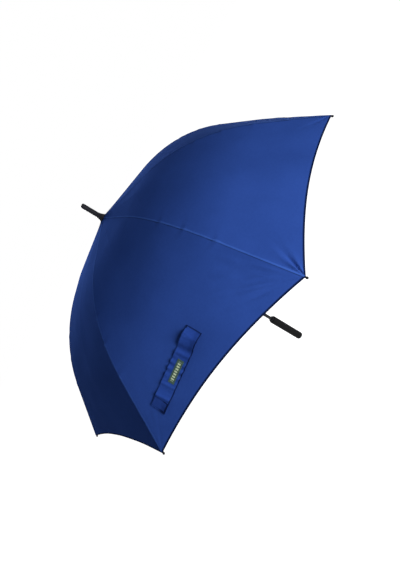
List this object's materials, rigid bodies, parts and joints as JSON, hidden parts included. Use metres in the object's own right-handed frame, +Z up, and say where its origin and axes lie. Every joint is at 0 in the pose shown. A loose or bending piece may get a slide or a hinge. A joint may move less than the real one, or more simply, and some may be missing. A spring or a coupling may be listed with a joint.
{
  "type": "golf umbrella",
  "caption": "Open golf umbrella with a bowed cloth canopy on folding ribs, a sliding runner, a straight shaft, a foam grip, a long ferrule and a closing strap.",
  "frame": {"origin": "centre of the handle's end face, on the shaft's axis", "axes": "+Z up the shaft from the handle to the ferrule; +X and +Y through the middles of two panels; the strap's panel faces -Y"},
  "size_m": [1.197, 1.197, 0.993],
  "materials": {
    "canopy_cloth": "woven pongee polyester, dull silk sheen",
    "strap_cloth": "doubled canopy cloth, pressed and creased",
    "label_weave": "woven damask label, plain",
    "hook_tape": "hook-and-loop tape",
    "shaft_fibreglass": "pultruded fibreglass, black, satin",
    "rib_fibreglass": "pultruded fibreglass rod, black, satin",
    "moulded_nylon": "injection-moulded black nylon",
    "ferrule_abs": "moulded ABS, charcoal, fine satin",
    "foam_eva": "EVA foam sleeve, fine open grain",
    "spring_steel": "drawn and tempered steel"
  },
  "bodies": {
    "shaft": {"shaft_tube": "shaft_fibreglass", "ferrule": "ferrule_abs", "rosette": "canopy_cloth", "crown": "moulded_nylon", "crown_wire": "spring_steel", "crown_rivet": "spring_steel", "catch_pins": "spring_steel", "grip_core": "moulded_nylon", "grip_foam": "foam_eva", "grip_collar": "moulded_nylon", "grip_end_cap": "moulded_nylon"},
    "runner": {"runner": "moulded_nylon"},
    "top_catch": {"top_catch": "spring_steel"},
    "bottom_catch": {"bottom_catch": "spring_steel"},
    "rib_1": {"rib_inner_1": "rib_fibreglass", "rib_joint_1": "moulded_nylon", "panel_1": "canopy_cloth"},
    "rib_end_1": {"rib_outer_1": "rib_fibreglass"},
    "stretcher_1": {"stretcher_1": "rib_fibreglass"},
    "rib_2": {"rib_inner_2": "rib_fibreglass", "rib_joint_2": "moulded_nylon", "panel_2": "canopy_cloth"},
    "rib_end_2": {"rib_outer_2": "rib_fibreglass"},
    "stretcher_2": {"stretcher_2": "rib_fibreglass"},
    "rib_3": {"rib_inner_3": "rib_fibreglass", "rib_joint_3": "moulded_nylon", "panel_3": "canopy_cloth"},
    "rib_end_3": {"rib_outer_3": "rib_fibreglass"},
    "stretcher_3": {"stretcher_3": "rib_fibreglass"},
    "rib_4": {"rib_inner_4": "rib_fibreglass", "rib_joint_4": "moulded_nylon", "panel_4": "canopy_cloth"},
    "rib_end_4": {"rib_outer_4": "rib_fibreglass"},
    "stretcher_4": {"stretcher_4": "rib_fibreglass"},
    "rib_5": {"rib_inner_5": "rib_fibreglass", "rib_joint_5": "moulded_nylon", "panel_5": "canopy_cloth"},
    "rib_end_5": {"rib_outer_5": "rib_fibreglass"},
    "stretcher_5": {"stretcher_5": "rib_fibreglass"},
    "rib_6": {"rib_inner_6": "rib_fibreglass", "rib_joint_6": "moulded_nylon", "panel_6": "canopy_cloth"},
    "rib_end_6": {"rib_outer_6": "rib_fibreglass", "closing_strap": "strap_cloth", "strap_label": "label_weave", "strap_hook": "hook_tape", "strap_loop": "hook_tape"},
    "stretcher_6": {"stretcher_6": "rib_fibreglass"},
    "rib_7": {"rib_inner_7": "rib_fibreglass", "rib_joint_7": "moulded_nylon", "panel_7": "canopy_cloth"},
    "rib_end_7": {"rib_outer_7": "rib_fibreglass"},
    "stretcher_7": {"stretcher_7": "rib_fibreglass"},
    "rib_8": {"rib_inner_8": "rib_fibreglass", "rib_joint_8": "moulded_nylon", "panel_8": "canopy_cloth"},
    "rib_end_8": {"rib_outer_8": "rib_fibreglass"},
    "stretcher_8": {"stretcher_8": "rib_fibreglass"}
  },
  "joints": [
    {"name": "runner_slide", "type": "slide", "parent": "shaft", "child": "runner", "axis": [0, 0, -1], "range_m": [0, 0.43567], "deforming": ["panel_1", "panel_2", "panel_3", "panel_4", "panel_5", "panel_6", "panel_7", "panel_8", "closing_strap", "strap_label", "strap_hook", "strap_loop", "top_catch", "bottom_catch"]},
    {"name": "rib_fold_1", "type": "hinge", "parent": "shaft", "child": "rib_1", "pos_m": [0.01109, 0.00459, 0.91064], "axis": [-0.3827, 0.9239, 0], "range_deg": [0, 76.95]},
    {"name": "rib_flex_1", "type": "hinge", "parent": "rib_1", "child": "rib_end_1", "pos_m": [0.30727, 0.12727, 0.84811], "axis": [0.3827, -0.9239, 0], "range_deg": [0, 28.45]},
    {"name": "stretcher_turn_1", "type": "hinge", "parent": "rib_1", "child": "stretcher_1", "pos_m": [0.29902, 0.12386, 0.84471], "axis": [0.3827, -0.9239, 0], "range_deg": [0, 138.08]},
    {"name": "rib_fold_2", "type": "hinge", "parent": "shaft", "child": "rib_2", "pos_m": [0.00459, 0.01109, 0.91064], "axis": [-0.9239, 0.3827, 0], "range_deg": [0, 76.95]},
    {"name": "rib_flex_2", "type": "hinge", "parent": "rib_2", "child": "rib_end_2", "pos_m": [0.12727, 0.30727, 0.84811], "axis": [0.9239, -0.3827, 0], "range_deg": [0, 28.45]},
    {"name": "stretcher_turn_2", "type": "hinge", "parent": "rib_2", "child": "stretcher_2", "pos_m": [0.12386, 0.29902, 0.84471], "axis": [0.9239, -0.3827, 0], "range_deg": [0, 138.08]},
    {"name": "rib_fold_3", "type": "hinge", "parent": "shaft", "child": "rib_3", "pos_m": [-0.00459, 0.01109, 0.91064], "axis": [-0.9239, -0.3827, 0], "range_deg": [0, 76.95]},
    {"name": "rib_flex_3", "type": "hinge", "parent": "rib_3", "child": "rib_end_3", "pos_m": [-0.12727, 0.30727, 0.84811], "axis": [0.9239, 0.3827, 0], "range_deg": [0, 28.45]},
    {"name": "stretcher_turn_3", "type": "hinge", "parent": "rib_3", "child": "stretcher_3", "pos_m": [-0.12386, 0.29902, 0.84471], "axis": [0.9239, 0.3827, 0], "range_deg": [0, 138.08]},
    {"name": "rib_fold_4", "type": "hinge", "parent": "shaft", "child": "rib_4", "pos_m": [-0.01109, 0.00459, 0.91064], "axis": [-0.3827, -0.9239, 0], "range_deg": [0, 76.95]},
    {"name": "rib_flex_4", "type": "hinge", "parent": "rib_4", "child": "rib_end_4", "pos_m": [-0.30727, 0.12727, 0.84811], "axis": [0.3827, 0.9239, 0], "range_deg": [0, 28.45]},
    {"name": "stretcher_turn_4", "type": "hinge", "parent": "rib_4", "child": "stretcher_4", "pos_m": [-0.29902, 0.12386, 0.84471], "axis": [0.3827, 0.9239, 0], "range_deg": [0, 138.08]},
    {"name": "rib_fold_5", "type": "hinge", "parent": "shaft", "child": "rib_5", "pos_m": [-0.01109, -0.00459, 0.91064], "axis": [0.3827, -0.9239, 0], "range_deg": [0, 76.95]},
    {"name": "rib_flex_5", "type": "hinge", "parent": "rib_5", "child": "rib_end_5", "pos_m": [-0.30727, -0.12727, 0.84811], "axis": [-0.3827, 0.9239, 0], "range_deg": [0, 28.45]},
    {"name": "stretcher_turn_5", "type": "hinge", "parent": "rib_5", "child": "stretcher_5", "pos_m": [-0.29902, -0.12386, 0.84471], "axis": [-0.3827, 0.9239, 0], "range_deg": [0, 138.08]},
    {"name": "rib_fold_6", "type": "hinge", "parent": "shaft", "child": "rib_6", "pos_m": [-0.00459, -0.01109, 0.91064], "axis": [0.9239, -0.3827, 0], "range_deg": [0, 76.95]},
    {"name": "rib_flex_6", "type": "hinge", "parent": "rib_6", "child": "rib_end_6", "pos_m": [-0.12727, -0.30727, 0.84811], "axis": [-0.9239, 0.3827, 0], "range_deg": [0, 28.45]},
    {"name": "stretcher_turn_6", "type": "hinge", "parent": "rib_6", "child": "stretcher_6", "pos_m": [-0.12386, -0.29902, 0.84471], "axis": [-0.9239, 0.3827, 0], "range_deg": [0, 138.08]},
    {"name": "rib_fold_7", "type": "hinge", "parent": "shaft", "child": "rib_7", "pos_m": [0.00459, -0.01109, 0.91064], "axis": [0.9239, 0.3827, 0], "range_deg": [0, 76.95]},
    {"name": "rib_flex_7", "type": "hinge", "parent": "rib_7", "child": "rib_end_7", "pos_m": [0.12727, -0.30727, 0.84811], "axis": [-0.9239, -0.3827, 0], "range_deg": [0, 28.45]},
    {"name": "stretcher_turn_7", "type": "hinge", "parent": "rib_7", "child": "stretcher_7", "pos_m": [0.12386, -0.29902, 0.84471], "axis": [-0.9239, -0.3827, 0], "range_deg": [0, 138.08]},
    {"name": "rib_fold_8", "type": "hinge", "parent": "shaft", "child": "rib_8", "pos_m": [0.01109, -0.00459, 0.91064], "axis": [0.3827, 0.9239, 0], "range_deg": [0, 76.95]},
    {"name": "rib_flex_8", "type": "hinge", "parent": "rib_8", "child": "rib_end_8", "pos_m": [0.30727, -0.12727, 0.84811], "axis": [-0.3827, -0.9239, 0], "range_deg": [0, 28.45]},
    {"name": "stretcher_turn_8", "type": "hinge", "parent": "rib_8", "child": "stretcher_8", "pos_m": [0.29902, -0.12386, 0.84471], "axis": [-0.3827, -0.9239, 0], "range_deg": [0, 138.08]},
    {"name": "top_catch_press", "type": "hinge", "parent": "shaft", "child": "top_catch", "pos_m": [-0.002, 0, 0.58253], "axis": [0, -1, 0], "range_deg": [0, 4.5], "stiffness_Nm_per_rad": 0.6},
    {"name": "bottom_catch_press", "type": "hinge", "parent": "shaft", "child": "bottom_catch", "pos_m": [-0.002, 0, 0.29346], "axis": [0, 1, 0], "range_deg": [0, 4.5], "stiffness_Nm_per_rad": 0.6}
  ],
  "couplings": [
    {"joint": "rib_fold_1", "follows": "runner_slide", "rad_per_m": 3.0807},
    {"joint": "rib_flex_1", "follows": "runner_slide", "rad_per_m": 1.1377},
    {"joint": "stretcher_turn_1", "follows": "runner_slide", "rad_per_m": 5.5296},
    {"joint": "rib_fold_2", "follows": "runner_slide", "rad_per_m": 3.0807},
    {"joint": "rib_flex_2", "follows": "runner_slide", "rad_per_m": 1.1377},
    {"joint": "stretcher_turn_2", "follows": "runner_slide", "rad_per_m": 5.5296},
    {"joint": "rib_fold_3", "follows": "runner_slide", "rad_per_m": 3.0807},
    {"joint": "rib_flex_3", "follows": "runner_slide", "rad_per_m": 1.1377},
    {"joint": "stretcher_turn_3", "follows": "runner_slide", "rad_per_m": 5.5296},
    {"joint": "rib_fold_4", "follows": "runner_slide", "rad_per_m": 3.0807},
    {"joint": "rib_flex_4", "follows": "runner_slide", "rad_per_m": 1.1377},
    {"joint": "stretcher_turn_4", "follows": "runner_slide", "rad_per_m": 5.5296},
    {"joint": "rib_fold_5", "follows": "runner_slide", "rad_per_m": 3.0807},
    {"joint": "rib_flex_5", "follows": "runner_slide", "rad_per_m": 1.1377},
    {"joint": "stretcher_turn_5", "follows": "runner_slide", "rad_per_m": 5.5296},
    {"joint": "rib_fold_6", "follows": "runner_slide", "rad_per_m": 3.0807},
    {"joint": "rib_flex_6", "follows": "runner_slide", "rad_per_m": 1.1377},
    {"joint": "stretcher_turn_6", "follows": "runner_slide", "rad_per_m": 5.5296},
    {"joint": "rib_fold_7", "follows": "runner_slide", "rad_per_m": 3.0807},
    {"joint": "rib_flex_7", "follows": "runner_slide", "rad_per_m": 1.1377},
    {"joint": "stretcher_turn_7", "follows": "runner_slide", "rad_per_m": 5.5296},
    {"joint": "rib_fold_8", "follows": "runner_slide", "rad_per_m": 3.0807},
    {"joint": "rib_flex_8", "follows": "runner_slide", "rad_per_m": 1.1377},
    {"joint": "stretcher_turn_8", "follows": "runner_slide", "rad_per_m": 5.5296}
  ]
}
